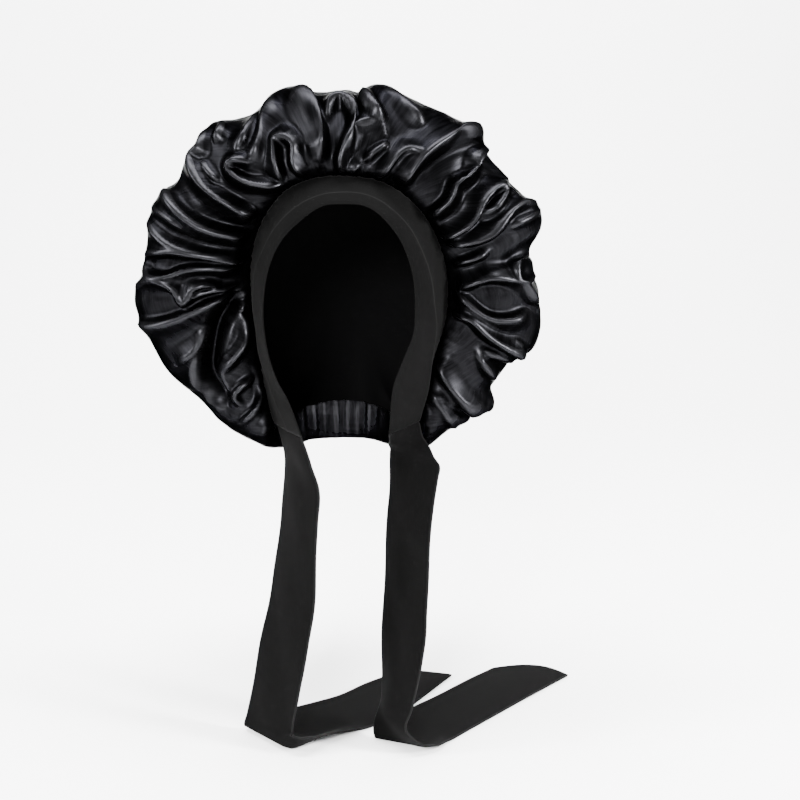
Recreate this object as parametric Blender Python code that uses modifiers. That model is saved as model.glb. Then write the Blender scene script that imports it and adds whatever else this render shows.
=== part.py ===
"""Sleep bonnet: a big gathered satin crown on a jersey band with two long ties.

Metres, +Z up, the wearer looking along -Y. The origin is where the top of the head
touches the inside of the crown, and the ties lie on a table below it. Angles run
clockwise from the top of the face opening, as the viewer in front sees it. Left and
right are the viewer's.
"""

import math

import bpy
import numpy as np

MM = 0.001

# Driving dimensions, in millimetres
SATIN_THICKNESS = 1.3
HEM_THICKNESS = 2.8
HEM_WIDTH = 9.0
BAND_THICKNESS = 2.2
TIE_THICKNESS = 2.0
SEAM_GAP = 0.35
END_GAP = 1.1
TABLE_Z = -520.0

# The crown, worn
RIM_CENTRE = (0.0, -123.0)
RIM_Y = 20.0
NAPE_RIM_Y = 66.0
POLE = (0.0, 140.0, -112.0)
BACK_SPREAD = 96.0
HEAD_MIDDLE = (0.0, 20.0, -123.0)
FRONT_PUFF = 30.0
NAPE_PUFF = 6.0
SEAM_LEAN = 0.35
RIM_PUFF = 1.15
BACK_DEPTH = 0.55
COLUMNS = 106
FRONT_SHARES = (0.0, 0.05, 0.11, 0.19, 0.29, 0.40, 0.52, 0.64, 0.76, 0.88, 1.0)
BACK_SHARES = (1.14, 1.30, 1.48, 1.66, 1.82, 1.94)

# The seam and hem round the opening: angle, x, y, z
SEAM = (
    (0, 1, -38, -17),
    (24, 40, -35, -23),
    (48, 74, -27, -48),
    (72, 95, -18, -90),
    (96, 97, -15, -139),
    (120, 83, -15, -188),
    (134, 76, -18, -216),
    (146, 73, -18, -238),
    (157, 64, 10, -247),
    (168, 36, 52, -243),
    (180, 0, 66, -240),
    (192, -36, 52, -243),
    (203, -58, 10, -247),
    (213, -63, -18, -238),
    (226, -71, -8, -206),
    (246, -78, -5, -150),
    (270, -81, -7, -102),
    (294, -72, -20, -60),
    (318, -49, -31, -31),
    (340, -24, -37, -20),
)

# The outline of the crown, its lobes and the notches between them: angle, reach
RIM = (
    (0, 175), (6, 168), (12, 193), (18, 185), (24, 186), (30, 188), (36, 189), (42, 194),
    (48, 178), (54, 184), (60, 180), (66, 197), (72, 195), (78, 173), (84, 181), (90, 180),
    (96, 177), (102, 192), (108, 183), (114, 168), (120, 170), (127, 183), (132, 168),
    (138, 172), (144, 167), (150, 171), (160, 170), (180, 162), (197, 167), (208, 165),
    (222, 167), (234, 168), (246, 179), (256, 182), (264, 189), (270, 190), (276, 181),
    (282, 179), (288, 183), (294, 187), (300, 181), (304, 179), (312, 183), (324, 191),
    (330, 182), (336, 178), (342, 189), (348, 187), (354, 174),
)

# The folds of the crown, which start near the seam and run out over the rim.
# angle at the seam, half way and at the rim; half width at the seam and rim, in degrees;
# height; share of the way out where it starts and ends; crest, under 1 flat and over 1 sharp
FOLDS = (
    (0, 3, 2, 4, 5, 10, 0.0, 0.95, 0.7),
    (6, 9, 13, 4, 7, 8, 0.0, 1.3, 1.2),
    (18, 28, 32, 4, 5, 10, 0.0, 0.75, 0.7),
    (29, 39, 47, 5, 6, 13, 0.05, 1.5, 1.4),
    (54, 57, 58, 7, 8, 14, 0.0, 1.2, 0.7),
    (63, 70, 71, 4, 6, 11, 0.0, 1.3, 1.2),
    (73, 78, 82, 4, 5, 8, 0.0, 1.0, 1.2),
    (90, 92, 93, 6, 8, 12, 0.0, 1.2, 0.7),
    (101, 106, 109, 4, 6, 10, 0.0, 1.3, 1.3),
    (110, 114, 117, 4, 5, -8, 0.1, 1.2, 1.0),
    (118, 122, 127, 4, 6, 8, 0.0, 1.3, 1.0),
    (126, 132, 133, 3, 5, 8, 0.0, 1.0, 1.3),
    (136, 141, 146, 4, 6, 7, 0.0, 1.2, 1.0),
    (158, 160, 162, 6, 6, 6, 0.1, 1.4, 1.0),
    (172, 173, 174, 5, 6, 6, 0.1, 1.4, 1.0),
    (186, 186, 186, 5, 6, 6, 0.1, 1.4, 1.0),
    (200, 199, 198, 6, 6, 6, 0.1, 1.4, 1.0),
    (222, 217, 216, 5, 6, 6, 0.0, 1.1, 1.3),
    (236, 228, 226, 7, 8, -7, 0.0, 0.95, 1.0),
    (246, 242, 240, 5, 8, 6, 0.0, 1.3, 1.0),
    (262, 247, 238, 5, 7, -10, 0.05, 0.75, 1.0),
    (267, 263, 261, 4, 6, 11, 0.05, 1.4, 1.3),
    (272, 271, 270, 3, 4, 9, 0.1, 1.3, 1.3),
    (277, 275, 273, 4, 5, 10, 0.0, 1.1, 0.7),
    (281, 283, 288, 3, 5, 9, 0.0, 1.3, 1.3),
    (291, 291, 302, 4, 6, 13, 0.0, 1.5, 1.2),
    (303, 307, 322, 5, 7, 13, 0.0, 1.5, 1.2),
    (326, 320, 318, 4, 4, 9, 0.0, 0.7, 0.7),
    (334, 341, 344, 4, 4, 10, 0.0, 0.65, 0.8),
    (338, 333, 346, 3, 6, 9, 0.25, 1.3, 1.2),
    (350, 354, 351, 3, 4, 11, 0.0, 1.2, 1.3),
)

FOLD_RISE = 0.16
FOLD_FADE = 0.3
RIM_CALM = 0.75
RIM_CALM_REACH = 0.2

# The front band: seam angle; front edge x, y, z; how far its fold line stands out
BAND = (
    (212, -36, -55, -243, 1),
    (219, -46, -56, -212, 2),
    (229, -57, -57, -189, 2),
    (241, -65, -57, -162, 3),
    (253, -68, -57, -132, 4),
    (265, -66, -57, -107, 4),
    (277, -62, -58, -89, 4),
    (289, -56, -61, -74, 4),
    (301, -48, -64, -61, 4),
    (317, -34, -67, -47, 3),
    (337, -17, -69, -35, 3),
    (360, 0, -70, -32, 3),
    (380, 22, -69, -34, 3),
    (396, 36, -67, -43, 4),
    (410, 50, -63, -60, 6),
    (422, 58, -60, -76, 8),
    (436, 64, -56, -97, 9),
    (452, 66, -55, -122, 9),
    (468, 64, -55, -150, 9),
    (480, 55, -55, -173, 8),
    (493, 46, -55, -200, 6),
    (505, 43, -55, -240, 2),
)
BAND_STATIONS = 60
BAND_LANES = 6
BAND_KEYS = np.linspace(BAND[0][0], BAND[-1][0], BAND_STATIONS)
BAND_FOLD_LANE = 0.42

# The ties: x, y, z of the middle line; turn of the width from +X; width; cup;
# lift of the far edge and curl of the near edge off the table
LEFT_TIE = (
    (-49.5, -37, -241.5, -52, 42, 0, 0, 0),
    (-41.5, -43, -266, -59, 50, 2, 0, 0),
    (-38.5, -47, -284, -56, 58, 3, 0, 0),
    (-41, -55, -315, -56, 60, 3, 0, 0),
    (-44.5, -69, -360, -52, 61, 2, 0, 0),
    (-48, -78, -390, -48, 61, 2, 0, 0),
    (-55.5, -88, -428, -47, 61, 1, 0, 0),
    (-64, -97, -472, -45, 61, 0, 0, 0),
    (-70, -100, -503, -45, 61, 0, 0, 3),
    (-71, -101, -516, -45, 66, 0, 0, 15),
    (-65, -100, -518.9, -47, 74, 0, 0, 17),
    (-48, -90, -518.9, -53, 76, 0, 1, 14),
    (-34, -79, -518.9, -58, 72, 0, 2, 10),
    (-14, -67, -518.9, -60, 65, 0, 3, 4),
    (7, -56, -518.9, -58, 61, 0, 4, 0),
    (41, -28, -518.9, -52, 61, 0, 4, 0),
    (74, -3, -518.9, -52, 61, 0, 3, 0),
    (106, 20, -518.9, -52, 60, 0, 1, 0),
)
RIGHT_TIE = (
    (58.5, -37, -240.5, 49, 46, 0, 0, 0),
    (59, -41, -251, 8, 34, 1, 0, 0),
    (59, -43, -260, -36, 41, 3, 0, 0),
    (64.5, -48, -277, -42, 53, 5, 0, 0),
    (62, -53, -297, -50, 58, 4, 0, 0),
    (59, -61, -326, -53, 61, 3, 0, 0),
    (57, -70, -361, -53, 61, 2, 0, 0),
    (55, -79, -392, -53, 61, 2, 0, 0),
    (54, -87, -414, -53, 61, 2, 0, 0),
    (51, -95, -440, -58, 61, 2, 0, 0),
    (45, -104, -474, -64, 58, 3, 0, 0),
    (41, -108, -496, -64, 55, 5, 0, 0),
    (47, -112, -510, -42, 59, 4, 0, 0),
    (56, -112, -518.9, -22, 62, 0, 0, 4),
    (65, -98, -518.9, -34, 62, 0, 1, 2),
    (80, -82, -518.9, -46, 62, 0, 3, 0),
    (111, -54, -518.9, -48, 61, 0, 3, 0),
    (155, -14, -518.9, -48, 61, 0, 3, 0),
    (207, 32, -518.9, -48, 61, 0, 2, 0),
)
TIE_STATIONS = 50
TIE_LANES = 6
CUP_SHORTENS = 2.6
POINT_LENGTH = 110.0
JOIN_LENGTH = 30.0
CURL_FROM = 0.5
UP = np.array((0.0, 0.0, 1.0))
# The cut ends: lane of the tip from -1 to 1, cut back at the near and the far edge, roundness
LEFT_POINT = (0.18, 80.0, 28.0, 1.0)
RIGHT_POINT = (0.999, 0.0, 46.0, 3.0)


def spline(rows, where, period=None):
    """Smooth values of a table at the places asked for; the first column is the place."""
    table = np.array(rows, float)
    key, values = table[:, 0], table[:, 1:]
    if period:
        key = np.concatenate((key[-2:] - period, key, key[:2] + period))
        values = np.concatenate((values[-2:], values, values[:2]))
        where = np.mod(where, period)
    slope = np.gradient(values, key, axis=0)
    after = np.clip(np.searchsorted(key, where, side="right"), 1, len(key) - 1)
    start, end = key[after - 1], key[after]
    span = (end - start)[..., None]
    t = (where[..., None] - start[..., None]) / span
    low, high = values[after - 1], values[after]
    out, into = slope[after - 1] * span, slope[after] * span
    return (
        (2 * t**3 - 3 * t**2 + 1) * low
        + (t**3 - 2 * t**2 + t) * out
        + (3 * t**2 - 2 * t**3) * high
        + (t**3 - t**2) * into
    )


def smooth_step(low, high, value):
    t = np.clip((value - low) / (high - low), 0.0, 1.0)
    return t * t * (3 - 2 * t)


def bezier(a, b, c, d, t):
    t = t[..., None]
    return a * (1 - t) ** 3 + 3 * b * t * (1 - t) ** 2 + 3 * c * t * t * (1 - t) + d * t**3


def nape_share(angle):
    """1 under the nape and 0 round the face."""
    return smooth_step(28.0, 8.0, np.abs(angle - 180.0))


def seam_points(angle):
    return spline(SEAM, angle, 360.0)


def rim_points(angle):
    reach = spline(RIM, angle, 360.0)[..., 0]
    way = np.radians(angle)
    x = RIM_CENTRE[0] + reach * np.sin(way)
    z = RIM_CENTRE[1] + reach * np.cos(way)
    return np.stack((x, RIM_Y + NAPE_RIM_Y * nape_share(angle), z), axis=-1)


def plain_crown(angle, share):
    """The crown without its folds: share 0 at the seam, 1 at the rim and 2 at the back."""
    seam, rim = seam_points(angle), rim_points(angle)
    nape = nape_share(angle)[..., None]
    forward = np.array((0.0, -1.0, 0.0))
    puff = FRONT_PUFF + (NAPE_PUFF - FRONT_PUFF) * nape
    front = bezier(
        seam,
        seam + SEAM_LEAN * (rim - seam) + puff * forward,
        rim + (RIM_PUFF - nape) * FRONT_PUFF * forward,
        rim,
        np.clip(share, 0.0, 1.0),
    )
    pole = np.array(POLE)
    depth = pole[1] - rim[..., 1:2]
    even = (rim - pole) * np.array((1.0, 0.0, 1.0))
    even = even / np.linalg.norm(even, axis=-1, keepdims=True)
    back = bezier(
        rim,
        rim - BACK_DEPTH * depth * forward,
        pole + BACK_SPREAD * even,
        np.broadcast_to(pole, rim.shape),
        np.clip(share - 1.0, 0.0, 1.0),
    )
    return np.where((share <= 1.0)[..., None], front, back)


def fold_height(angle, share):
    """How far the folds stand out of the plain crown."""
    height = np.zeros_like(angle)
    for at_seam, half_way, at_rim, seam_wide, rim_wide, tall, first, last, crest in FOLDS:
        t = np.clip(share, 0.0, 1.0)
        line = at_seam + (4 * half_way - 3 * at_seam - at_rim) * t
        line = line + 2 * (at_seam + at_rim - 2 * half_way) * t * t
        width = seam_wide + (rim_wide - seam_wide) * t
        off = np.abs((angle - line + 180.0) % 360.0 - 180.0) / width
        ridge = np.cos(0.5 * math.pi * np.clip(off, 0.0, 1.0)) ** (2 * crest)
        rise = smooth_step(first, first + FOLD_RISE, share)
        fade = 1 - smooth_step(last - FOLD_FADE, last, share)
        height = height + tall * ridge * rise * fade
    at_rim = np.exp(-(((share - 1.0) / RIM_CALM_REACH) ** 2))
    return height * (1 - RIM_CALM * at_rim)


def crown_points(angle, share):
    """The outer face of the crown, folds and all."""
    nudge = 0.02
    here = plain_crown(angle, share)
    inside = np.clip(share, nudge, 1.98)
    across = plain_crown(angle + 1.0, share) - plain_crown(angle - 1.0, share)
    along = plain_crown(angle, inside + nudge) - plain_crown(angle, inside - nudge)
    out = np.cross(across, along)
    out = out / np.maximum(np.linalg.norm(out, axis=-1, keepdims=True), 1e-9)
    return here + out * fold_height(angle, share)[..., None]


def material(name, colour, roughness, sheen=0.0):
    made = bpy.data.materials.new(name)
    made.use_nodes = True
    shader = made.node_tree.nodes["Principled BSDF"]
    shader.inputs["Base Color"].default_value = (*colour, 1.0)
    shader.inputs["Roughness"].default_value = roughness
    shader.inputs["Sheen Weight"].default_value = sheen
    return made


def cloth_sheet(name, points, faces, thickness, offset, finish):
    """A mesh of the points in millimetres, given its thickness by Solidify."""
    mesh = bpy.data.meshes.new(name)
    mesh.from_pydata((np.asarray(points) * MM).tolist(), [], faces)
    mesh.materials.append(finish)
    mesh.shade_smooth()
    sheet = bpy.data.objects.new(name, mesh)
    collection.objects.link(sheet)
    wall = sheet.modifiers.new("wall", "SOLIDIFY")
    wall.thickness = thickness * MM
    wall.offset = offset
    return sheet


def grid_faces(rows, columns, closed):
    """Quads between rows of points; the rows close into rings if asked."""
    faces = []
    for row in range(rows - 1):
        for column in range(columns if closed else columns - 1):
            following = (column + 1) % columns
            a, b = row * columns + column, row * columns + following
            faces.append((a, b, b + columns, a + columns))
    return faces


def build_crown():
    shares = np.array(FRONT_SHARES + BACK_SHARES)
    angles = np.arange(COLUMNS) * 360.0 / COLUMNS
    share, angle = np.meshgrid(shares, angles, indexing="ij")
    points = crown_points(angle, share).reshape(-1, 3)
    faces = grid_faces(len(shares), COLUMNS, True)
    last = (len(shares) - 1) * COLUMNS
    middle = len(points)
    points = np.vstack((points, POLE))
    for column in range(COLUMNS):
        faces.append((last + column, last + (column + 1) % COLUMNS, middle))
    crown = cloth_sheet("crown", points, faces, HEM_THICKNESS, -1.0, satin)
    thick = crown.vertex_groups.new(name="thickness")
    length = np.linalg.norm(seam_points(angles) - rim_points(angles), axis=-1)
    for index in range(middle):
        column = index % COLUMNS
        from_hem = share.reshape(-1)[index] * length[column]
        hem = nape_share(angles[column]) * (1 - smooth_step(HEM_WIDTH, HEM_WIDTH + 4, from_hem))
        wall = SATIN_THICKNESS + (HEM_THICKNESS - SATIN_THICKNESS) * hem
        thick.add([index], float(wall / HEM_THICKNESS), "REPLACE")
    thick.add([middle], SATIN_THICKNESS / HEM_THICKNESS, "REPLACE")
    crown.modifiers["wall"].vertex_group = "thickness"
    return crown


def band_lines(keys):
    """Front edge, seam edge, direction out, direction along and fold stand of the band."""
    values = spline(BAND, keys)
    front = values[:, :3]
    seam = seam_points(keys)
    back = seam + (front - seam) * (SEAM_GAP / np.linalg.norm(front - seam, axis=1))[:, None]
    along = np.gradient(0.5 * (front + back), axis=0)
    along = along / np.linalg.norm(along, axis=1, keepdims=True)
    out = np.cross(back - front, along)
    out = out / np.linalg.norm(out, axis=1, keepdims=True)
    from_head = 0.5 * (front + back) - np.array(HEAD_MIDDLE)
    out = out * np.sign(np.sum(out * from_head, axis=1, keepdims=True))
    return front, back, out, along, values[:, 3]


def build_band():
    front, back, out, _, stand = band_lines(BAND_KEYS)
    points = []
    for lane in range(BAND_LANES + 1):
        t = lane / BAND_LANES
        rise = t / BAND_FOLD_LANE if t < BAND_FOLD_LANE else (1 - t) / (1 - BAND_FOLD_LANE)
        points.append(front + (back - front) * t + out * (stand * rise * (2 - rise))[:, None])
    faces = grid_faces(BAND_LANES + 1, BAND_STATIONS, False)
    return cloth_sheet("front_band", np.concatenate(points), faces, BAND_THICKNESS, -1.0, jersey)


def band_end(at_start):
    """The middle of the band's wall at one jaw end, seam edge first, a gap further down."""
    front, back, out, along, _ = band_lines(BAND_KEYS)
    which = 0 if at_start else -1
    down = -along[which] if at_start else along[which]
    drop = END_GAP * down - 0.5 * BAND_THICKNESS * out[which]
    return back[which] + drop, front[which] + drop


def build_tie(name, rows, tip, top):
    places = np.array(rows, float)
    step = np.linalg.norm(np.diff(places[:, :3], axis=0), axis=1)
    way = np.concatenate(([0.0], np.cumsum(step)))
    table = np.column_stack((way, places))
    keys = np.linspace(0.0, way[-1], TIE_STATIONS)
    values = spline(table, keys)
    middle, turn = values[:, :3], np.radians(values[:, 3])
    width, cup, lift, curl = values[:, 4:8].T
    curl = np.maximum(curl, 0.0)
    middle[:, 2] = np.maximum(middle[:, 2], TABLE_Z + 0.5 * TIE_THICKNESS)
    across = np.stack((np.cos(turn), np.sin(turn), np.zeros_like(turn)), axis=1)
    along = np.gradient(middle, keys, axis=0)
    along = along / np.linalg.norm(along, axis=1, keepdims=True)
    face = np.cross(across, along)
    chord = width * (1 - CUP_SHORTENS * (cup / width) ** 2)
    run_out = smooth_step(way[-1] - POINT_LENGTH, way[-1], keys)
    joined = 1 - smooth_step(0.0, JOIN_LENGTH, keys)
    tip_lane, near_cut, far_cut, power = tip
    points = []
    for lane in range(TIE_LANES + 1):
        u = 2.0 * lane / TIE_LANES - 1.0
        if u > tip_lane:
            cut = near_cut * ((u - tip_lane) / (1 - tip_lane)) ** power
        else:
            cut = far_cut * ((tip_lane - u) / (1 + tip_lane)) ** power
        raised = 0.5 * lift * (1 - u) + curl * smooth_step(CURL_FROM, 1.0, u)
        line = (
            middle
            + across * (0.5 * chord * u)[:, None]
            + face * (cup * (u * u - 0.5))[:, None]
            - along * (run_out * cut)[:, None]
            + UP * raised[:, None]
        )
        end = top[0] + (top[1] - top[0]) * (0.5 + 0.5 * u)
        points.append(line + (end - line[0]) * joined[:, None])
    faces = grid_faces(TIE_LANES + 1, TIE_STATIONS, False)
    return cloth_sheet(name, np.concatenate(points), faces, TIE_THICKNESS, 0.0, jersey)


for old in list(bpy.data.objects):
    bpy.data.objects.remove(old, do_unlink=True)

collection = bpy.data.collections.new("sleep_bonnet")
bpy.context.scene.collection.children.link(collection)
satin = material("black_satin", (0.012, 0.012, 0.014), 0.28)
jersey = material("black_jersey", (0.016, 0.016, 0.017), 0.85, 0.3)

build_crown()
build_band()
build_tie("left_tie", LEFT_TIE, LEFT_POINT, band_end(True))
build_tie("right_tie", RIGHT_TIE, RIGHT_POINT, band_end(False)[::-1])
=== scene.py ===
import math

import bpy
import numpy as np
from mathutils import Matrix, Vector


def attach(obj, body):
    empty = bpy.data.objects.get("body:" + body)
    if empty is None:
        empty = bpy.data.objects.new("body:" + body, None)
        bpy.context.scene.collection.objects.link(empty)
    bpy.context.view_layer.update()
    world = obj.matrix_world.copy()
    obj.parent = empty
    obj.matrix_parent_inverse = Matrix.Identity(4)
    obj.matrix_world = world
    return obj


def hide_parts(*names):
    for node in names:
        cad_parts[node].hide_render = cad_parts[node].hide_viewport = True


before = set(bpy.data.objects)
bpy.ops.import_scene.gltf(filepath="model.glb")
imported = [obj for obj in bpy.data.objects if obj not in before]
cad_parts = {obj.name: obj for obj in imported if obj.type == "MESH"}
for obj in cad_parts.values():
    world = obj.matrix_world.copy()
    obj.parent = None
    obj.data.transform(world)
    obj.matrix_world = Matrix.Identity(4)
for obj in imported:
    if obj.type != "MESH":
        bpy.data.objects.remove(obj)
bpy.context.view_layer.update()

# Crown: one big round of thin satin, gathered by hand into the band round the face
# and into a plain turned hem behind the neck. It is drawn up so far that the cloth
# stands out round the face in puffed folds, which run over the rim to the back.

# Sizes are in millimetres here, and become metres where a mesh is made
MM = 0.001
# The rim is the widest line of the crown: its middle in x and z, and how far back it lies
RIM_MIDDLE = (0.0, -123.0)
RIM_Y = 20.0
NAPE_RIM_Y = 66.0
# The middle of the back, and how the plain crown rounds off towards it
POLE = np.array((0.0, 140.0, -112.0))
BACK_SPREAD = 96.0
EVEN_REACH = 184.0
SHOULDER_Y = 88.0
NAPE_SHOULDER = 18.0
# How far the front stands forward, at the face and at the nape, and how much of that
# the cloth takes at the seam, where it bulges over the band, and at the rim
FRONT_PUFF = 30.0
NAPE_PUFF = 6.0
SEAM_BULGE = 1.1
SEAM_BULGE_OUT = 0.26
RIM_PUFF = 1.15
CROWN_COLUMNS = 512
CROWN_FRONT_ROWS = 60
CROWN_BACK_ROWS = 32
SATIN_THICKNESS = 0.6
# Settling the cloth: fineness, rounds, push out, hold to the folds drawn, farthest from them
SETTLING = ((2, 10, 0.04, 0.25, 3.0), (1, 6, 0.02, 0.4, 2.5))
# How firmly the cloth keeps its length, and how much it smooths each round, both round the
# crown and out from the seam
FIRM_ROUND, FIRM_OUT = 0.9, 0.5
SMOOTH_ROUND, SMOOTH_OUT = 0.06, 0.12

# The seam and hem round the opening: angle clockwise from the top, x, y, z
SEAM = (
    (0, 1, -38, -11), (24, 41, -35, -18), (48, 75, -27, -46), (72, 95, -18, -90),
    (96, 97, -15, -139), (120, 83, -15, -188), (134, 76, -18, -216), (146, 73, -18, -238),
    (157, 64, 10, -247), (168, 36, 52, -243), (180, 0, 66, -240), (192, -36, 52, -243),
    (203, -58, 10, -247), (213, -63, -18, -238), (226, -71, -8, -206), (246, -78, -5, -150),
    (270, -81, -7, -102), (294, -72, -20, -60), (318, -50, -31, -27), (340, -25, -37, -14),
)

# The outline of the crown, its lobes and the notches between them: angle, reach
RIM = (
    (0, 181), (3, 182), (6, 180), (9, 189), (12, 192), (18, 188), (24, 187), (30, 189),
    (36, 191), (42, 197), (45, 187), (48, 185), (54, 185), (60, 189), (63, 192), (66, 199),
    (72, 197), (78, 177), (81, 182), (84, 181), (90, 186), (93, 184), (96, 189), (102, 193),
    (108, 187), (111, 174), (114, 173), (120, 170), (123, 171), (126, 182), (129, 184),
    (132, 168), (135, 175), (138, 170), (144, 168), (150, 170), (160, 170), (180, 162),
    (197, 167), (208, 164), (222, 168), (234, 168), (246, 179), (256, 183), (264, 189),
    (270, 190), (276, 182), (282, 180), (288, 184), (294, 187), (300, 185), (304, 179),
    (312, 184), (318, 186), (324, 191), (330, 181), (336, 178), (342, 189), (348, 190), (354, 180),
)

# The folds, as they lie in a front view: height, half width on the left and on the right
# looking along the line, and the x, z of points along it
FOLDS = (
    (15, 8, 16, ((-42, 65), (-35, 60), (-21, 37), (-16, 24), (-16, 0))),
    (11, 12, 5, ((-47, -18), (-53, 7), (-50, 17), (-44, 19), (-38, 15), (-37, -3), (-27, -12))),
    (13, 11, 5, ((-10, 36), (-6, 45), (5, 49), (10, 43), (12, 35), (3, -6), (7, -9), (19, -1))),
    (9, 5, 12, ((35, 32), (24, 30), (4, 5))),
    (7, 6, 6, ((44, 16), (33, 10), (21, 1))),
    (11, 12, 5, ((17, -15), (31, -13), (60, 8), (67, 5), (62, -5))),
    (12, 6, 18, ((22, 66), (33, 42), (39, 31))),
    (9, 20, 8, ((44, 69), (57, 48), (76, 28))),
    (8, 12, 12, ((-60, 59), (-69, 11), (-76, -1))),
    (15, 8, 22, ((136, 31), (59, -11), (54, -20))),
    (13, 12, 5, ((140, 14), (116, 1), (113, -10), (98, -19), (96, -28), (79, -50), (82, -62),
        (87, -65), (97, -63), (117, -51), (125, -36), (141, -27), (144, -29), (141, -35),
        (134, -42), (123, -45))),
    (10, 6, 6, ((137, -1), (151, -20), (132, -27))),
    (14, 5, 15, ((191, -34), (180, -41), (158, -45), (130, -66), (94, -71))),
    (7, 7, 7, ((150, -25), (158, -33), (161, -42))),
    (8, 6, 6, ((193, -42), (173, -51), (147, -59))),
    (8, 6, 6, ((133, -79), (114, -87), (101, -90))),
    (11, 13, 5, ((187, -67), (179, -78), (155, -96), (155, -103), (163, -111), (188, -101))),
    (12, 14, 6, ((105, -114), (134, -103), (147, -105), (193, -147))),
    (11, 5, 14, ((103, -112), (140, -141), (161, -141), (170, -137))),
    (13, 12, 6, ((100, -135), (117, -140), (130, -154), (157, -172), (168, -176), (173, -172))),
    (5, 5, 5, ((173, -172), (163, -166), (154, -160))),
    (8, 14, 6, ((126, -168), (126, -176), (145, -205))),
    (7, 5, 12, ((126, -169), (152, -177), (169, -188))),
    (6, 14, 6, ((84, -177), (107, -215), (134, -241))),
    (4, 12, 7, ((80, -204), (98, -235), (113, -256))),
    (9, 5, 12, ((-68, 53), (-74, 30), (-89, 7))),
    (12, 10, 5, ((-40, -17), (-87, -11), (-92, -6), (-90, -2), (-73, 0))),
    (14, 6, 16, ((-122, 31), (-117, 22), (-118, 9), (-126, 0), (-122, -8), (-116, -17), (-73, -45))),
    (7, 6, 6, ((-104, 38), (-103, 24), (-108, 15))),
    (6, 5, 5, ((-120, 1), (-114, -7), (-103, -18))),
    (13, 6, 18, ((-166, -20), (-117, -55), (-80, -62))),
    (9, 12, 6, ((-179, -38), (-154, -48), (-131, -60))),
    (10, 5, 14, ((-181, -47), (-155, -68), (-92, -80))),
    (6, 6, 6, ((-117, -35), (-107, -33), (-97, -32))),
    (12, 5, 14, ((-84, -87), (-124, -80), (-153, -80), (-176, -90), (-174, -98), (-167, -103),
        (-158, -103), (-134, -93), (-91, -89))),
    (12, 12, 5, ((-198, -119), (-156, -109), (-148, -112), (-140, -125), (-128, -110),
        (-119, -107), (-109, -113))),
    (8, 5, 5, ((-140, -131), (-134, -122), (-94, -110))),
    (13, 5, 20, ((-193, -149), (-166, -144), (-97, -115))),
    (7, 6, 16, ((-119, -143), (-124, -160), (-148, -184))),
    (5, 7, 14, ((-123, -159), (-131, -177), (-135, -213))),
    (-14, 10, 12, ((-88, -116), (-107, -140), (-117, -168), (-121, -192), (-107, -225))),
    (9, 5, 5, ((-91, -136), (-87, -128), (-80, -134))),
    (10, 7, 7, ((-91, -136), (-86, -144), (-86, -154), (-108, -190))),
    (8, 5, 5, ((-77, -183), (-78, -225), (-93, -238))),
    (8, 5, 5, ((-81, -194), (-97, -214), (-92, -221))),
    (5, 14, 20, ((-30, 70), (-20, 100), (-22, 124))),
    (6, 16, 14, ((40, 76), (56, 100), (60, 128))),
    (5, 14, 18, ((134, 36), (156, 52), (166, 76))),
    (6, 18, 14, ((190, -38), (214, -30), (240, -28))),
    (5, 14, 14, ((190, -104), (216, -112), (246, -108))),
    (5, 16, 16, ((172, -176), (196, -196), (222, -202))),
    (5, 14, 14, ((60, -300), (76, -324), (80, -350))),
    (5, 16, 14, ((-40, -296), (-54, -320), (-56, -348))),
    (6, 14, 18, ((-128, -256), (-150, -274), (-176, -282))),
    (5, 16, 14, ((-186, -160), (-214, -164), (-244, -176))),
    (6, 14, 16, ((-184, -84), (-212, -80), (-240, -86))),
    (5, 16, 14, ((-156, -20), (-182, -6), (-204, 0))),
    (5, 14, 16, ((-112, 40), (-126, 64), (-146, 82))),
)
# All folds are this much wider than drawn, with crests rounded by this share of the width
FOLD_WIDER = 1.25
CREST_ROUND = 0.04
# A fold's ends fade over this share of its length, and over no more than this
END_FADE = 0.3
END_FADE_MOST = 14.0
# Shares of the way out: where folds begin, and how flat and how near the rim they calm
FOLD_START = (0.01, 0.18)
RIM_CALM = 0.9
RIM_CALM_REACH = 0.22
# Over the back the folds fade between the first two shares, and dents come in their place
BACK_CALM = (1.25, 1.7)
DENTS_FROM = (1.1, 1.4)
# Heights of the soft dents in the back, the tucks at the nape and the finest crumples
BACK_DENTS = 2.5
NAPE_TUCKS = 1.3
CRUMPLES = 0.15
# How many puckers go round the seam, and how many tucks round the nape's hem
PUCKER_COUNTS = (47, 61, 73, 89)
TUCK_COUNTS = (97, 61)
# The round of satin as it was cut, and how much of its radius lies in front of the rim
CUT_RADIUS = 320.0
FRONT_RUN = 120.0
# How far past the rim, in a front view, the folds drawn are laid over the back
RUN_OVER = 150.0

# How much longer the cloth is than the folds drawn need: share, ratio
SLACK = ((0.0, 1.3), (0.1, 1.2), (0.22, 1.06), (0.5, 1.0), (1.0, 1.0), (2.0, 1.0))


def spline(rows, where, period=None):
    """Smooth values of a table at the places asked for; the first column is the place."""
    table = np.array(rows, float)
    key, values = table[:, 0], table[:, 1:]
    if period:
        key = np.concatenate((key[-2:] - period, key, key[:2] + period))
        values = np.concatenate((values[-2:], values, values[:2]))
        where = np.mod(where, period)
    slope = np.gradient(values, key, axis=0)
    after = np.clip(np.searchsorted(key, where, side="right"), 1, len(key) - 1)
    start, end = key[after - 1], key[after]
    span = (end - start)[..., None]
    t = (where[..., None] - start[..., None]) / span
    low, high = values[after - 1], values[after]
    out, into = slope[after - 1] * span, slope[after] * span
    return (
        (2 * t**3 - 3 * t**2 + 1) * low
        + (t**3 - 2 * t**2 + t) * out
        + (3 * t**2 - 2 * t**3) * high
        + (t**3 - t**2) * into
    )


def smooth_step(low, high, value):
    """0 at the first number, 1 at the second, smooth in between; they may run downwards."""
    t = np.clip((value - low) / (high - low), 0.0, 1.0)
    return t * t * (3 - 2 * t)


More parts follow.
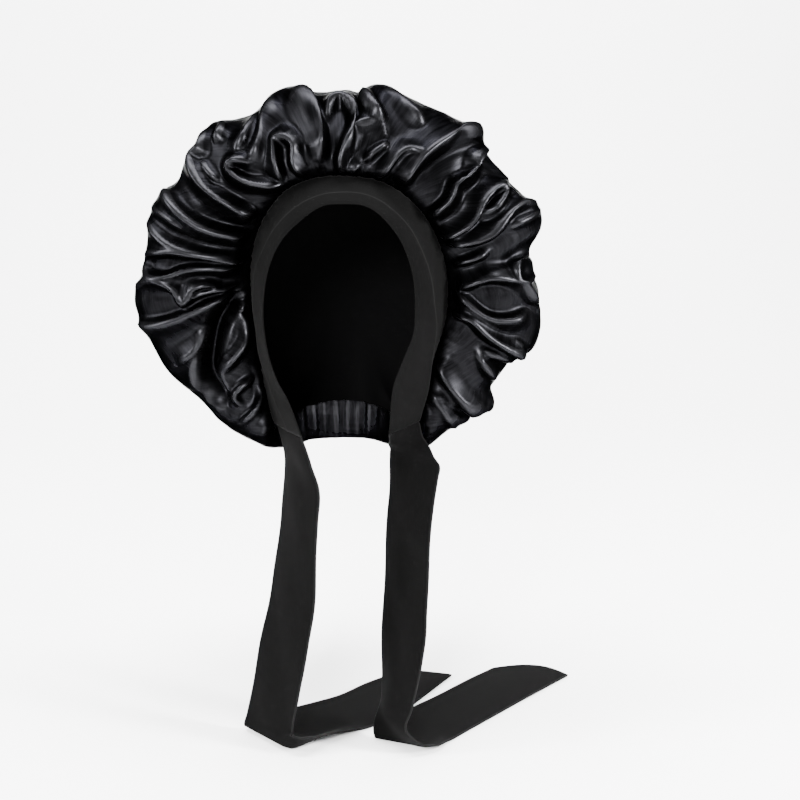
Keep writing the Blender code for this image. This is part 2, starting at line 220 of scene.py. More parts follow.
def bezier(a, b, c, d, t):
    """Points along a curve from a to d that b and c pull."""
    t = t[..., None]
    return a * (1 - t) ** 3 + 3 * b * t * (1 - t) ** 2 + 3 * c * t * t * (1 - t) + d * t**3


def nape_share(angle):
    """1 under the nape and 0 round the face."""
    return smooth_step(28.0, 8.0, np.abs(angle - 180.0))


def seam_points(angle):
    """Where the seam or hem lies at an angle, in millimetres."""
    return spline(SEAM, angle, 360.0)


def plain_crown(angle, share):
    """The crown without its folds: share 0 at the seam, 1 at the rim and 2 at the back."""
    seam = seam_points(angle)
    reach = spline(RIM, angle, 360.0)[..., 0]
    nape = nape_share(angle)
    rim = np.stack(
        (
            RIM_MIDDLE[0] + reach * np.sin(np.radians(angle)),
            RIM_Y + NAPE_RIM_Y * nape,
            RIM_MIDDLE[1] + reach * np.cos(np.radians(angle)),
        ),
        axis=-1,
    )
    nape = nape[..., None]
    forward = np.array((0.0, -1.0, 0.0))
    puff = FRONT_PUFF + (NAPE_PUFF - FRONT_PUFF) * nape
    front = bezier(
        seam,
        seam + SEAM_BULGE_OUT * (rim - seam) + SEAM_BULGE * puff * forward,
        rim + (RIM_PUFF - nape) * FRONT_PUFF * forward,
        rim,
        np.clip(share, 0.0, 1.0),
    )
    even = (rim - POLE) * np.array((1.0, 0.0, 1.0))
    even = even / np.linalg.norm(even, axis=-1, keepdims=True)
    below = smooth_step(75.0, 0.0, np.abs(angle - 180.0))
    shoulder = POLE + EVEN_REACH * even
    shoulder[..., 1] = SHOULDER_Y + NAPE_SHOULDER * below
    back = bezier(
        rim,
        shoulder,
        POLE + BACK_SPREAD * even,
        np.broadcast_to(POLE, rim.shape),
        np.clip(share - 1.0, 0.0, 1.0),
    )
    return np.where((share <= 1.0)[..., None], front, back)


def out_of(points):
    """Unit directions out of a grid of points, rows from the seam, columns round."""
    across = np.roll(points, -1, axis=1) - np.roll(points, 1, axis=1)
    along = np.gradient(points, axis=0)
    out = np.cross(across, along)
    return out / np.maximum(np.linalg.norm(out, axis=-1, keepdims=True), 1e-9)


def front_map(plain, share):
    """Where the points of the plain crown lie in a front view, opened out past the rim."""
    flat = plain[..., [0, 2]]
    middle = np.array(RIM_MIDDLE)
    rim = flat[np.argmin(np.abs(share[:, 0] - 1.0))]
    away = (rim - middle) / np.linalg.norm(rim - middle, axis=-1, keepdims=True)
    past = np.clip(share - 1.0, 0.0, 1.0)[..., None]
    return np.where(past > 0, rim + past * RUN_OVER * away, flat)


def way_along(line):
    """How far along a line of points each of them lies."""
    return np.concatenate(([0.0], np.cumsum(np.linalg.norm(np.diff(line, axis=0), axis=1))))


def smooth_line(points, step):
    """A smooth line through points, cut into steps."""
    line = np.array(points, float)
    way = way_along(line)
    keys = np.linspace(0.0, way[-1], max(2, int(way[-1] / step) + 1))
    return keys, spline(np.column_stack((way, line)), keys)


def fold_height(where):
    """How far the folds drawn stand out of the plain crown."""
    tall, deep = np.zeros(where.shape[:2]), np.zeros(where.shape[:2])
    for height, left, right, points in FOLDS:
        keys, line = smooth_line(points, 4.0)
        reach = FOLD_WIDER * max(left, right)
        inside = np.all((where > line.min(0) - reach) & (where < line.max(0) + reach), axis=-1)
        spots = where[inside]
        near = np.full(len(spots), 1e9)
        side, place = np.zeros(len(spots)), np.zeros(len(spots))
        for start, end, key, after in zip(line[:-1], line[1:], keys[:-1], keys[1:]):
            way = end - start
            t = np.clip((spots - start) @ way / (way @ way), 0.0, 1.0)
            off = spots - start - t[:, None] * way
            far = np.hypot(off[:, 0], off[:, 1])
            better = far < near
            near = np.where(better, far, near)
            side = np.where(better, way[0] * off[:, 1] - way[1] * off[:, 0], side)
            place = np.where(better, key + t * (after - key), place)
        u = np.clip(near / (FOLD_WIDER * np.where(side > 0, left, right)), 0.0, 1.0)
        taper = min(END_FADE_MOST, END_FADE * keys[-1])
        ends = smooth_step(-0.4 * taper, taper, place)
        ends = ends * smooth_step(-0.4 * taper, taper, keys[-1] - place)
        crest = np.clip(1 + CREST_ROUND - np.sqrt(u * u + CREST_ROUND**2), 0.0, 1.0)
        ridge = height * smooth_step(0.0, 1.7, crest) * 1.92 * ends
        if height > 0:
            tall[inside] += ridge**3
        else:
            deep[inside] += ridge
    return np.cbrt(tall) + deep


def gather_height(angle, share, chance):
    """The small puckers that the gathering thread makes along the seam."""
    height = np.zeros_like(angle)
    for count in PUCKER_COUNTS:
        phase, drift = chance.uniform(0, 2 * math.pi), chance.uniform(-2.5, 2.5)
        height += np.cos(np.radians(angle * count) + phase + drift * share)
    nape = nape_share(angle)
    reach = np.exp(-share / (0.22 + 0.5 * nape)) * smooth_step(0.0, 0.05, share)
    return (1.1 - 0.3 * nape) * height * reach


def ripples(where, longest, shortest, count, seed):
    """Uneven ripples that run every way over a plane, between -1 and 1 or so."""
    chance = np.random.default_rng(seed)
    height = np.zeros(where.shape[:-1])
    for length in np.geomspace(longest, shortest, count):
        turn, phase = chance.uniform(0, 2 * math.pi, 2)
        way = where[..., 0] * math.cos(turn) + where[..., 1] * math.sin(turn)
        height += np.sin(2 * math.pi * way / length + phase)
    return height / math.sqrt(count)


def cloth_places(angle, share):
    """Where each point lies on the round of satin before it is gathered, in millimetres."""
    reach = CUT_RADIUS - FRONT_RUN * np.minimum(share, 1.0)
    reach = reach - (CUT_RADIUS - FRONT_RUN) * np.maximum(share - 1.0, 0.0)
    turn = np.radians(angle)
    return np.stack((reach * np.sin(turn), reach * np.cos(turn)), axis=-1)


def shares_of(front_rows, back_rows):
    """The shares of the rows, closer together near the seam and the rim."""
    front = (np.arange(front_rows + 1) / front_rows) ** 1.25
    back = 1 + (np.arange(1, back_rows + 1) / back_rows) ** 1.3
    return np.concatenate((front, back[:-1], [1.985]))


def pull(points, first, second, rest, stiffness, held):
    """Moves pairs of points, given as slices, towards their rest distance."""
    gap = points[second] - points[first]
    far = np.linalg.norm(gap, axis=-1, keepdims=True)
    step = 0.5 * stiffness * (far - rest) / np.maximum(far, 1e-6) * gap
    points[first] += step * held[first]
    points[second] -= step * held[second]


def settle(points, target, slack, rounds, push, hold, cap):
    """Lets the cloth find its length: it buckles between its folds, puffs out and smooths."""
    rest_round = np.linalg.norm(np.roll(target, -1, 1) - target, axis=-1, keepdims=True) * slack
    rest_out = np.linalg.norm(target[1:] - target[:-1], axis=-1, keepdims=True)
    held = np.ones_like(points[..., :1])
    held[0] = 0.0
    held[-1] = 0.0
    rows = points.shape[0]
    for _ in range(rounds):
        for start in (0, 1):
            moved = np.roll(points, -start, axis=1)
            rest = np.roll(rest_round, -start, axis=1)[:, 0::2]
            a, b = (slice(None), slice(0, None, 2)), (slice(None), slice(1, None, 2))
            pull(moved, a, b, rest, FIRM_ROUND, held)
            points = np.roll(moved, start, axis=1)
            a, b = (slice(start, rows - 1, 2),), (slice(start + 1, rows, 2),)
            pull(points, a, b, rest_out[start::2], FIRM_OUT, held)
        mean = 0.5 * (np.roll(points, 1, 1) + np.roll(points, -1, 1)) - points
        points = points + SMOOTH_ROUND * mean * held
        points[1:-1] += SMOOTH_OUT * (0.5 * (points[2:] + points[:-2]) - points[1:-1])
        points = points + push * out_of(points) * held
        points = points + hold * (target - points) * held
        away = points - target
        far = np.linalg.norm(away, axis=-1, keepdims=True)
        points = target + away * np.minimum(1.0, cap / np.maximum(far, 1e-6))
    return points


def finer(points, columns):
    """The same cloth on twice as many columns, by a smooth curve through the old ones."""
    before, after, beyond = np.roll(points, 1, 1), np.roll(points, -1, 1), np.roll(points, -2, 1)
    middle = (9 * (points + after) - before - beyond) / 16
    return np.stack((points, middle), axis=2).reshape(points.shape[0], columns, 3)


def between_rows(points, old_shares, new_shares):
    """The same cloth on rows at new shares."""
    flat = points.reshape(len(old_shares), -1)
    table = np.column_stack((old_shares, flat))
    return spline(table, new_shares).reshape(len(new_shares), points.shape[1], 3)


def make_crown_grid():
    """The crown as rows from the seam to the back, settled coarse first and then fine."""
    points, old = None, None
    for fine, rounds, push, hold, cap in SETTLING:
        columns = CROWN_COLUMNS // fine
        shares = shares_of(CROWN_FRONT_ROWS // fine, CROWN_BACK_ROWS // fine)
        angles = np.arange(columns) * 360.0 / columns
        share, angle = np.meshgrid(shares, angles, indexing="ij")
        plain = plain_crown(angle, share)
        out = out_of(plain)
        # The folds start past the band's edge and lie flatter where they run over the rim
        at_rim = np.exp(-(((share - 1.0) / RIM_CALM_REACH) ** 2))
        height = fold_height(front_map(plain, share)) * (1 - RIM_CALM * at_rim)
        height = height * smooth_step(*FOLD_START, share)
        calm = smooth_step(*BACK_CALM, share)
        dents = ripples(plain[..., [0, 2]], longest=260, shortest=110, count=5, seed=9)
        dents = BACK_DENTS * dents * smooth_step(*DENTS_FROM, share)
        crumples = ripples(cloth_places(angle, share), longest=34, shortest=13, count=9, seed=7)
        height = height * (1 - calm) + dents + CRUMPLES * crumples * (1 - calm)
        target = plain + out * height[..., None]
        gathers = out * gather_height(angle, share, np.random.default_rng(5))[..., None]
        if points is None:
            points = target + gathers
        else:
            points = between_rows(finer(points, columns), old, shares)
            points = points + 0.5 * (target - points)
            points[0] = plain[0]
            points += 0.5 * gathers
        points = settle(points, target, spline(SLACK, share), rounds, push, hold, cap)
        points = points + calm[..., None] * (target - points)
        old = shares
    # The hem under the nape draws the cloth below it into small even tucks
    many, few = TUCK_COUNTS
    tucks = np.cos(np.radians(many * angle)) + 0.7 * np.cos(np.radians(few * angle + 40))
    tucks = tucks * nape_share(angle) * np.exp(-(((share - 0.3) / 0.45) ** 2))
    return points + out * (NAPE_TUCKS * tucks)[..., None]


class Shade:
    """A shader value, colour or vector that Python's operators work on."""

    def __init__(self, tree, socket):
        self.tree, self.socket = tree, socket

    def node(self, kind, settings, inputs, output=0):
        made = self.tree.nodes.new(kind)
        for name, value in settings.items():
            setattr(made, name, value)
        for name, value in inputs.items():
            if isinstance(value, Shade):
                self.tree.links.new(value.socket, made.inputs[name])
            else:
                made.inputs[name].default_value = value
        return Shade(self.tree, made.outputs[output])

    def maths(self, operation, first, second=0.0):
        return self.node("ShaderNodeMath", {"operation": operation}, {0: first, 1: second})

    def __add__(self, other):
        return self.maths("ADD", self, other)

    __radd__ = __add__

    def __sub__(self, other):
        return self.maths("SUBTRACT", self, other)

    def __rsub__(self, other):
        return self.maths("SUBTRACT", other, self)

    def __mul__(self, other):
        return self.maths("MULTIPLY", self, other)

    __rmul__ = __mul__

    def spread(self, stretch):
        """This vector, stretched by three numbers."""
        return self.node("ShaderNodeVectorMath", {"operation": "MULTIPLY"}, {0: self, 1: stretch})

    def noise(self, stretch, detail=2.0, rough=0.5):
        """Noise over this vector, from 0 to 1; the stretch gives the grains per metre."""
        inputs = {"Vector": self.spread(stretch), "Scale": 1.0, "Detail": detail, "Roughness": rough}
        return self.node("ShaderNodeTexNoise", {}, inputs)

    def between(self, low, high):
        """0 below the first number, 1 above the second, smooth in between."""
        settings = {"interpolation_type": "SMOOTHSTEP"}
        return self.node("ShaderNodeMapRange", settings, {0: self, 1: low, 2: high})

    def blend(self, none, full):
        """A mix of two colours by this value."""
        return self.node("ShaderNodeMix", {"data_type": "RGBA"}, {0: self, 6: none, 7: full}, 2)


class Finish:
    """A material with one Principled shader, whose sockets take numbers or Shades."""

    def __init__(self, name, **constants):
        self.material = bpy.data.materials.new(name)
        self.material.use_nodes = True
        self.tree = self.material.node_tree
        self.shader = self.tree.nodes["Principled BSDF"]
        for socket, value in constants.items():
            self.shader.inputs[socket.replace("_", " ")].default_value = value

    def source(self, kind, settings, output=0):
        made = self.tree.nodes.new(kind)
        for name, value in settings.items():
            setattr(made, name, value)
        return Shade(self.tree, made.outputs[output])

    def feed(self, socket, shade):
        self.tree.links.new(shade.socket, self.shader.inputs[socket])

    def feed_height(self, height):
        """Bump from a height in metres."""
        self.feed("Normal", height.node("ShaderNodeBump", {}, {"Distance": 1.0, "Height": height}))


def grey(value, blue=1.0):
    """A grey, or a slightly blue one."""
    return (value, value, value * blue, 1.0)


def set_cloth_places(mesh, places):
    """A UV map in metres on the cloth as it was cut; places has one row for each vertex."""
    layer = mesh.uv_layers.new(name="cloth")
    corners = np.zeros(len(mesh.loops), dtype=np.int32)
    mesh.loops.foreach_get("vertex_index", corners)
    layer.uv.foreach_set("vector", (places[corners] * MM).ravel())


def set_value(mesh, name, values):
    """A number for each vertex, for the material to read."""
    layer = mesh.attributes.new(name, "FLOAT", "POINT")
    layer.data.foreach_set("value", values)


# The satin's right side, dark to light with the sheen, with a painted highlight along the
# crests of its folds, and its wrong side
SATIN_DARK = grey(0.0025, 1.12)
SATIN_LIGHT = grey(0.0085, 1.12)
SATIN_PAINTED_HIGHLIGHT = grey(0.017, 1.1)
REVERSE_DARK = grey(0.0005, 1.1)
REVERSE_LIGHT = grey(0.0012, 1.1)

crown_grid = make_crown_grid()
rows, columns = crown_grid.shape[:2]
vertices = np.vstack((crown_grid.reshape(-1, 3), POLE[None]))
faces = []
for row in range(rows - 1):
    for column in range(columns):
        a, b = row * columns + column, row * columns + (column + 1) % columns
        faces.append((a, b, b + columns, a + columns))
last = (rows - 1) * columns
for column in range(columns):
    faces.append((last + column, last + (column + 1) % columns, rows * columns))
mesh = bpy.data.meshes.new("satin_crown")
mesh.from_pydata((vertices * MM).tolist(), [], faces)
mesh.shade_smooth()
share, angle = np.meshgrid(
    shares_of(CROWN_FRONT_ROWS, CROWN_BACK_ROWS), np.arange(columns) * 360.0 / columns, indexing="ij"
)
set_cloth_places(mesh, np.vstack((cloth_places(angle, share).reshape(-1, 2), (0.0, 0.0))))
# How sharply the cloth folds outwards at each point, in millimetres over its neighbours; the
# satin reads it to paint a highlight along the sharpest crests
outward = out_of(crown_grid)
beside = 0.5 * (np.roll(crown_grid, 2, 1) + np.roll(crown_grid, -2, 1))
above = crown_grid.copy()
above[2:-2] = 0.5 * (crown_grid[4:] + crown_grid[:-4])
sharp = np.sum((2 * crown_grid - beside - above) * outward, axis=-1)
set_value(mesh, "crest", np.append(sharp.ravel(), 0.0))
crown = bpy.data.objects.new("satin_crown", mesh)
bpy.context.scene.collection.objects.link(crown)
wall = crown.modifiers.new("wall", "SOLIDIFY")
wall.thickness = SATIN_THICKNESS * MM
wall.offset = -1.0
wall.material_offset = 1

satin = Finish("black_satin", Metallic=1.0, Specular_Tint=grey(0.1))
cloth = satin.source("ShaderNodeUVMap", {"uv_map": "cloth"})
crest = satin.source("ShaderNodeAttribute", {"attribute_name": "crest"}, 2)
threads = cloth.noise((1400.0, 60.0, 1.0), 1.0)
streaks = cloth.noise((170.0, 14.0, 1.0), 3.0, 0.6)
patches = cloth.noise((14.0, 14.0, 1.0), 2.0)
fine = cloth.noise((620.0, 34.0, 1.0), 2.0)
# Painted highlight: the sharpest fold crests get a lighter, more reflective colour
painted_crest_highlight = crest.between(0.3, 1.1) * (0.4 + 0.9 * fine)
sheen = (0.35 * patches + 0.3 * streaks + 0.35 * fine).between(0.34, 0.68)
satin.feed("Base Color", painted_crest_highlight.blend(sheen.blend(SATIN_DARK, SATIN_LIGHT), SATIN_PAINTED_HIGHLIGHT))
satin.feed("Roughness", 0.24 + 0.12 * streaks + 0.08 * fine + 0.08 * patches)
satin.feed_height(0.00008 * streaks + 0.00003 * fine + 0.00001 * threads)
# The wrong side of the satin, seen through the face opening, is dull
reverse = Finish("black_satin_reverse", Specular_IOR_Level=0.02)
cloth = reverse.source("ShaderNodeUVMap", {"uv_map": "cloth"})
threads = cloth.noise((1400.0, 60.0, 1.0), 1.0)
patches = cloth.noise((14.0, 14.0, 1.0), 2.0)
reverse.feed("Base Color", (0.5 * patches + 0.5 * threads).blend(REVERSE_DARK, REVERSE_LIGHT))
reverse.feed("Roughness", 0.6 + 0.15 * threads)
reverse.feed_height(0.00001 * threads)
crown.data.materials.append(satin.material)
crown.data.materials.append(reverse.material)
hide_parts("crown")
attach(crown, "root")

# Front band: one wide strip of black jersey that frames the face. Its front edge is
# folded under, its outer edge is sewn to the gathered crown and turned in, and a slack
# fold stands up along it, most on the right.

# Seam angle; x, y, z of the front edge; height of the slack fold and where it stands,
# from 0 at the front edge to 1 at the seam
BAND = (
    (212, -36, -55, -243, 1, 0.5), (219, -46, -56, -212, 2, 0.5), (229, -57, -57, -189, 3, 0.5),
    (241, -65, -57, -162, 4, 0.5), (253, -68, -57, -132, 4, 0.5), (265, -66, -57, -107, 4, 0.45),
    (277, -62, -58, -89, 4, 0.4), (289, -56, -61, -74, 4, 0.35), (301, -48, -64, -61, 4, 0.3),
    (317, -34, -67, -47, 4, 0.3), (337, -17, -69, -35, 3, 0.3), (360, 0, -70, -32, 3, 0.3),
    (380, 22, -69, -34, 3, 0.3), (396, 36, -67, -43, 4, 0.28), (410, 50, -63, -60, 6, 0.26),
    (422, 58, -60, -76, 8, 0.25), (436, 64, -56, -97, 9, 0.27), (452, 66, -55, -122, 9, 0.34),
    (468, 64, -55, -150, 9, 0.55), (480, 55, -55, -173, 9, 0.75), (493, 46, -55, -200, 8, 0.86),
    (505, 43, -55, -240, 3, 0.9),
)
# The middle of the space inside, which the strip's face points away from
INSIDE = np.array((0.0, 20.0, -123.0))
SEAM_GAP = 0.35
BAND_STATIONS = 300
BAND_LANES = 34
JERSEY_THICKNESS = 0.9
FOLD_UNDER = 1.2
# Added to the distance from the slack fold, so the painted highlight and pressing along it are
# weaker than at the edges
FOLD_SOFT = 0.9
# The jersey dark to light at random, and the painted highlight along its edges and fold
JERSEY_DARK = grey(0.0011)
JERSEY_LIGHT = grey(0.0024)
JERSEY_PAINTED_HIGHLIGHT = grey(0.006)
# Across the folded front edge: distance in from the edge, depth below the face
EDGE_ROLL = (
    (9.0, 1.0), (5.0, 1.0), (2.5, 1.0), (1.0, 0.95),
    (0.25, 0.75), (0.0, 0.5), (0.25, 0.2), (1.0, 0.04),
)


def band_lines(keys):
    """Front edge, seam edge, directions out and along, and the fold's height and place."""
    values = spline(BAND, keys)
    front = values[:, :3]
    seam = seam_points(keys)
    back = seam + (front - seam) * (SEAM_GAP / np.linalg.norm(front - seam, axis=1))[:, None]
    along = np.gradient(0.5 * (front + back), axis=0)
    along = along / np.linalg.norm(along, axis=1, keepdims=True)
    out = np.cross(back - front, along)
    out = out / np.linalg.norm(out, axis=1, keepdims=True)
    out = out * np.sign(np.sum(out * (0.5 * (front + back) - INSIDE), axis=1, keepdims=True))
    return front, back, out, along, values[:, 3], np.clip(values[:, 4], 0.2, 0.92)


jersey = Finish("black_jersey", Sheen_Weight=0.005, Sheen_Roughness=0.4, Specular_IOR_Level=0.025)
knit = jersey.source("ShaderNodeUVMap", {"uv_map": "cloth"})
edge = jersey.source("ShaderNodeAttribute", {"attribute_name": "edge"}, 2)
wales = knit.noise((900.0, 160.0, 1.0), 1.0)
lint = knit.noise((60.0, 40.0, 1.0), 3.0, 0.6)
# Near the edges and along the slack fold the jersey is pressed smoother and painted lighter, a
# painted highlight
pressed_and_painted_highlight = 1 - edge.between(0.4, 2.2)
plain = (0.6 * lint + 0.4 * wales).blend(JERSEY_DARK, JERSEY_LIGHT)
jersey.feed("Base Color", (0.8 * pressed_and_painted_highlight).blend(plain, JERSEY_PAINTED_HIGHLIGHT))
jersey.feed("Roughness", 0.84 + 0.1 * lint - 0.12 * pressed_and_painted_highlight)
jersey.feed_height(0.00008 * wales + 0.00006 * lint)


def strip_object(name, lanes, across, way, thickness, offset, fold=1000.0):
    """A strip of jersey from lanes of points that run along it; across gives where each lies."""
    stations = len(lanes[0])
    faces = []
    for lane in range(len(lanes) - 1):
        for station in range(stations - 1):
            a = lane * stations + station
            faces.append((a, a + 1, a + stations + 1, a + stations))
    mesh = bpy.data.meshes.new(name)
    mesh.from_pydata((np.concatenate(lanes) * MM).tolist(), [], faces)
    mesh.materials.append(jersey.material)
    mesh.shade_smooth()
    side, run = np.broadcast_arrays(np.array(across), way[None])
    set_cloth_places(mesh, np.stack((side, run), axis=-1).reshape(-1, 2))
    from_edge = np.minimum(np.abs(side - side[0]), np.abs(side[-1] - side))
    set_value(mesh, "edge", np.minimum(from_edge, np.abs(side - fold) + FOLD_SOFT).ravel())
    strip = bpy.data.objects.new(name, mesh)
    bpy.context.scene.collection.objects.link(strip)
    wall = strip.modifiers.new("wall", "SOLIDIFY")
    wall.thickness = thickness * MM
    wall.offset = offset
    return strip


def waves(way, t, seed, longest, count):
    """Soft uneven waves along a strip, between -1 and 1 or so."""
    chance = np.random.default_rng(seed)
    total = np.zeros_like(way + t)
    for _ in range(count):
        length = longest * chance.uniform(0.4, 1.0)
        lean, phase = chance.uniform(-0.8, 0.8), chance.random()
        total = total + np.sin(2 * math.pi * (way / length + lean * t + phase))
    return total / math.sqrt(count)


band_keys = np.linspace(BAND[0][0], BAND[-1][0], BAND_STATIONS)
front, back, out, along, stand, fold = band_lines(band_keys)
wide = np.linalg.norm(back - front, axis=1)
band_way = way_along(0.5 * (front + back))
lanes, across = [], []
for inward, depth in EDGE_ROLL:
    across.append(np.full(BAND_STATIONS, -inward - depth))
    lanes.append(front + (back - front) * (inward / wide)[:, None] - out * (depth * FOLD_UNDER))
for place in np.linspace(0.08, 1.0, BAND_LANES):
    rise = np.minimum(2 * place, 2 - 2 * place)
    t = np.where(place < 0.5, fold * rise, 1 - (1 - fold) * rise)
    lift = stand * (0.4 * rise * (2 - rise) + 0.6 * rise)
    lift = lift + 0.7 * math.sin(math.pi * place) * waves(band_way, t, 3, 90.0, 5)
    lift = lift + 0.35 * waves(band_way, t, 4, 11.0, 6) * math.exp(-(1 - place) / 0.12)
    lanes.append(front + (back - front) * t[:, None] + out * lift[:, None])
    across.append(wide * t)
band = strip_object("jersey_band", lanes, across, band_way, JERSEY_THICKNESS, -1.0, wide * fold)
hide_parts("front_band")
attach(band, "root")

# Left tie: a long flat strip of the same jersey, hemmed along both edges, sewn to the
# jaw end of the band. It hangs straight down, meets the table and lies on across it.

# x, y, z of the middle line; turn about the upright in degrees; width; how deep the strip
# cups; how far its far edge lifts and its near edge curls up
LEFT_TIE = (
    (-49.5, -37, -241.5, -52, 42, 0, 0, 0), (-41.5, -43, -266, -59, 50, 2, 0, 0),
    (-38.5, -47, -284, -56, 58, 3, 0, 0), (-41, -55, -315, -56, 60, 3, 0, 0),
    (-44.5, -69, -360, -52, 61, 2, 0, 0), (-48, -78, -390, -48, 61, 2, 0, 0),
    (-55.5, -88, -428, -47, 61, 1, 0, 0), (-64, -97, -472, -45, 61, 0, 0, 0),
    (-70, -100, -503, -45, 61, 0, 0, 3), (-71, -101, -516, -45, 66, 0, 0, 15),
    (-65, -100, -518.9, -47, 74, 0, 0, 17), (-48, -90, -518.9, -53, 76, 0, 1, 14),
    (-34, -79, -518.9, -58, 72, 0, 2, 10), (-14, -67, -518.9, -60, 65, 0, 3, 4),
    (7, -56, -518.9, -58, 61, 0, 4, 0), (41, -28, -518.9, -52, 61, 0, 4, 0),
    (74, -3, -518.9, -52, 61, 0, 3, 0), (106, 20, -518.9, -52, 60, 0, 1, 0),
)
TABLE_Z = -520.0
# The tie starts this far below the band's end, a little narrower than it
END_GAP = 0.4
END_INSET = 0.06
TIE_STATIONS = 240
# The space that the hemmed strip takes on the table, its wall, and the band's folded end
TIE_THICKNESS = 2.0
TIE_WALL = 1.6
BAND_THICKNESS = 2.2
POINT_LENGTH = 110.0
CURL_FROM = 0.5
UP = np.array((0.0, 0.0, 1.0))
# The cut end: where its tip lies across the strip, from -1 to 1; how far the near and far
# corners are cut back; how the cut curves, 1 for straight
LEFT_POINT = (0.18, 80.0, 28.0, 1.0)


def band_end(at_start):
    """The middle of the band's wall at one jaw end, seam edge first, a gap further down."""
    front, back, out, along, _, _ = band_lines(np.linspace(BAND[0][0], BAND[-1][0], 60))
    which = 0 if at_start else -1
    down = -along[which] if at_start else along[which]
    drop = END_GAP * down - 0.5 * BAND_THICKNESS * out[which]
    return back[which] + drop, front[which] + drop


def tie_object(name, rows, tip, top, seed):
    """A tie from its middle line, turn, width, cup, lift and curl; its end is cut to a tip."""
    places = np.array(rows, float)
    way = way_along(places[:, :3])
    keys = np.linspace(0.0, way[-1], TIE_STATIONS)
    values = spline(np.column_stack((way, places)), keys)
    middle, turn = values[:, :3], np.radians(values[:, 3])
    width, cup, lift, curl = values[:, 4:8].T
    curl = np.maximum(curl, 0.0)
    middle[:, 2] = np.maximum(middle[:, 2], TABLE_Z + 0.5 * TIE_THICKNESS)
    tip_lane, near_cut, far_cut, power = tip
    across = np.stack((np.cos(turn), np.sin(turn), np.zeros_like(turn)), axis=1)
    along = np.gradient(middle, keys, axis=0)
    along = along / np.linalg.norm(along, axis=1, keepdims=True)
    face = np.cross(across, along)
    chord = width * (1 - 2.6 * (cup / width) ** 2)
    run_out = smooth_step(way[-1] - POINT_LENGTH, way[-1], keys)
    joined = 1 - smooth_step(0.0, 30.0, keys)
    lying = smooth_step(-505.0, -517.0, middle[:, 2])
    free = (1 - joined) * (1 - lying)
    lanes, sides = [], []
    for u in np.concatenate(([-1.0, -0.985], np.linspace(-0.95, 0.95, 21), [0.985, 1.0])):
        if u > tip_lane:
            cut = near_cut * ((u - tip_lane) / (1 - tip_lane)) ** power
        else:
            cut = far_cut * ((tip_lane - u) / (1 + tip_lane)) ** power
        wave = 0.9 * waves(keys, u, seed, 150.0, 4) * free
        raised = 0.5 * lift * (1 - u) + curl * smooth_step(CURL_FROM, 1.0, u)
        line = (
            middle
            + across * (0.5 * chord * u)[:, None]
            + face * (cup * (u * u - 0.5) + wave)[:, None]
            - along * (run_out * cut)[:, None]
            + UP * raised[:, None]
        )
        end = top[0] + (top[1] - top[0]) * (0.5 + (0.5 - END_INSET) * u)
        lanes.append(line + (end - line[0]) * joined[:, None])
        sides.append(0.5 * width * u)
    return strip_object(name, lanes, sides, keys, TIE_WALL, 0.0)


left_tie = tie_object("jersey_left_tie", LEFT_TIE, LEFT_POINT, band_end(True), 21)
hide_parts("left_tie")
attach(left_tie, "root")

# Right tie: the same strip on the other side, a little fuller at the top, where it
# spreads under the band, and cut off slanting at its end.
RIGHT_TIE = (
    (59, -37, -240.5, 49, 46, 0, 0, 0), (60.3, -41, -251, 8, 34, 1, 0, 0),
    (63.2, -43, -260, -36, 48, 2, 0, 0), (65.4, -46, -268, -41, 58, 3, 0, 0),
    (64, -48, -277, -45, 60, 4, 0, 0), (61.8, -53, -297, -50, 60, 4, 0, 0),
    (59, -61, -326, -53, 61, 3, 0, 0), (57, -70, -361, -53, 61, 2, 0, 0),
    (55, -79, -392, -53, 61, 2, 0, 0), (54, -87, -414, -53, 61, 2, 0, 0),
    (51, -95, -440, -58, 61, 2, 0, 0), (45, -104, -474, -64, 58, 3, 0, 0),
    (41, -108, -496, -64, 55, 5, 0, 0), (47, -112, -510, -42, 59, 4, 0, 0),
    (56, -112, -518.9, -22, 62, 0, 0, 4), (65, -98, -518.9, -34, 62, 0, 1, 2),
    (80, -82, -518.9, -46, 62, 0, 3, 0), (111, -54, -518.9, -48, 61, 0, 3, 0),
    (155, -14, -518.9, -48, 61, 0, 3, 0), (207, 32, -518.9, -48, 61, 0, 2, 0),
)
RIGHT_POINT = (0.999, 0.0, 46.0, 3.0)
right_tie = tie_object("jersey_right_tie", RIGHT_TIE, RIGHT_POINT, band_end(False)[::-1], 22)
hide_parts("right_tie")
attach(right_tie, "root")

# Studio: a white table that sweeps up into the background, lit by soft boxes in front, at
# both sides and above. Sizes are in metres from here on.
FLOOR_Z = TABLE_Z * MM - 0.0005
FRONT_Y = -2.5
BACK_Y = 1.5
TOP_Z = 2.2
HALF_WIDTH = 3.0
SWEEP_RADIUS = 0.6
SWEEP_STEPS = 12
line = [(FRONT_Y, FLOOR_Z), (BACK_Y - SWEEP_RADIUS, FLOOR_Z)]
for step in range(1, SWEEP_STEPS + 1):
    turn = step / SWEEP_STEPS * math.pi / 2
    rise = SWEEP_RADIUS * (1 - math.cos(turn))
    line.append((BACK_Y - SWEEP_RADIUS + SWEEP_RADIUS * math.sin(turn), FLOOR_Z + rise))
line.append((BACK_Y, TOP_Z))
points = [(x, y, z) for y, z in line for x in (-HALF_WIDTH, HALF_WIDTH)]
faces = [(2 * i, 2 * i + 1, 2 * i + 3, 2 * i + 2) for i in range(len(line) - 1)]
sweep = bpy.data.meshes.new("sweep")
sweep.from_pydata(points, [], faces)
sweep.shade_smooth()
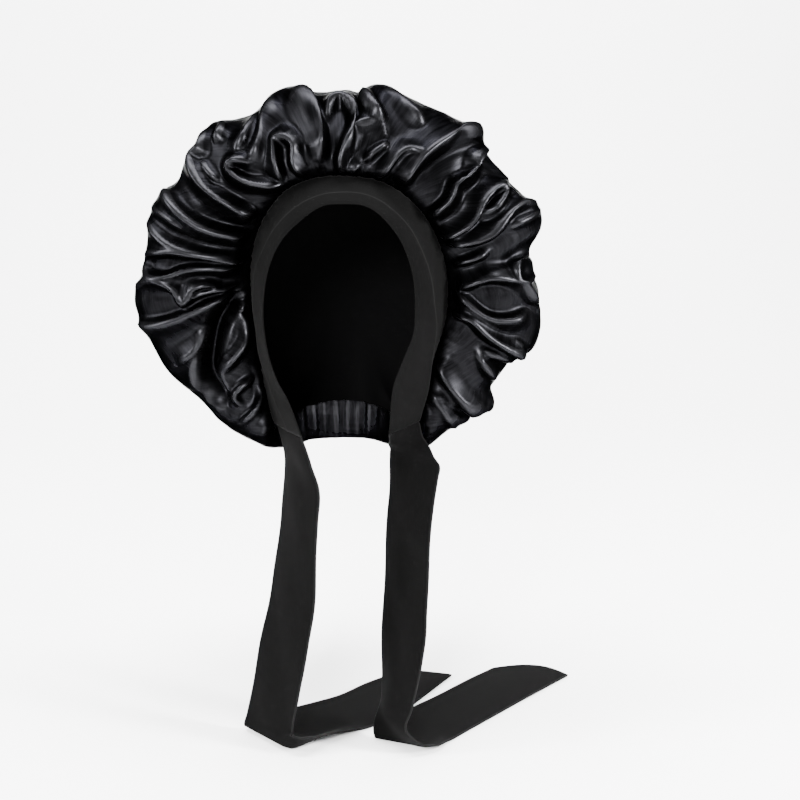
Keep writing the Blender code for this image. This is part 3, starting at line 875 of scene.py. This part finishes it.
floor = bpy.data.objects.new("table_sweep", sweep)
bpy.context.scene.collection.objects.link(floor)
white = Finish("white_table", Base_Color=grey(0.97), Roughness=0.9)
floor.data.materials.append(white.material)


def soft_box(name, place, look_at, size, watts):
    """A rectangular soft light at a place, turned to a point."""
    data = bpy.data.lights.new(name, "AREA")
    data.shape = "RECTANGLE"
    data.size, data.size_y = size
    data.energy = watts
    lamp = bpy.data.objects.new(name, data)
    bpy.context.scene.collection.objects.link(lamp)
    lamp.location = place
    way = np.array(look_at) - np.array(place)
    lamp.rotation_euler = Vector(way).to_track_quat("-Z", "Y").to_euler()


soft_box("key_box", (-0.4, -1.4, 0.5), (0, 0, -0.1), (0.5, 0.35), 68.0)
soft_box("low_box", (0.25, -1.4, -0.2), (0, 0, -0.2), (0.6, 0.25), 5.0)
soft_box("left_box", (-1.3, -0.2, 0.3), (0, 0, -0.15), (0.2, 0.8), 40.0)
soft_box("right_box", (1.3, -0.5, 0.3), (0, 0, -0.15), (0.2, 0.6), 85.0)
soft_box("top_box", (-0.2, 0.1, 1.3), (0, 0, -0.1), (0.9, 0.25), 10.0)
soft_box("back_box", (0.0, 0.2, 2.0), (0, 1.5, 0.0), (2.5, 0.8), 300.0)
world = bpy.data.worlds.new("studio")
bpy.context.scene.world = world
world.use_nodes = True
world.node_tree.nodes["Background"].inputs["Color"].default_value = (1, 1, 1, 1)
world.node_tree.nodes["Background"].inputs["Strength"].default_value = 0.2

# The camera stands in front and a little above the crown, and looks 15 degrees down
CAMERA_PLACE = (0.0, -1.092, 0.070)
CAMERA_TILT = 75.0
CAMERA_PAN = -2.89
camera_data = bpy.data.cameras.new("camera")
camera_data.lens = 54.0
camera_data.sensor_width = 36.0
camera_data.clip_start = 0.01
camera = bpy.data.objects.new("camera", camera_data)
bpy.context.scene.collection.objects.link(camera)
camera.location = CAMERA_PLACE
camera.rotation_euler = (math.radians(CAMERA_TILT), 0.0, math.radians(CAMERA_PAN))
bpy.context.scene.camera = camera
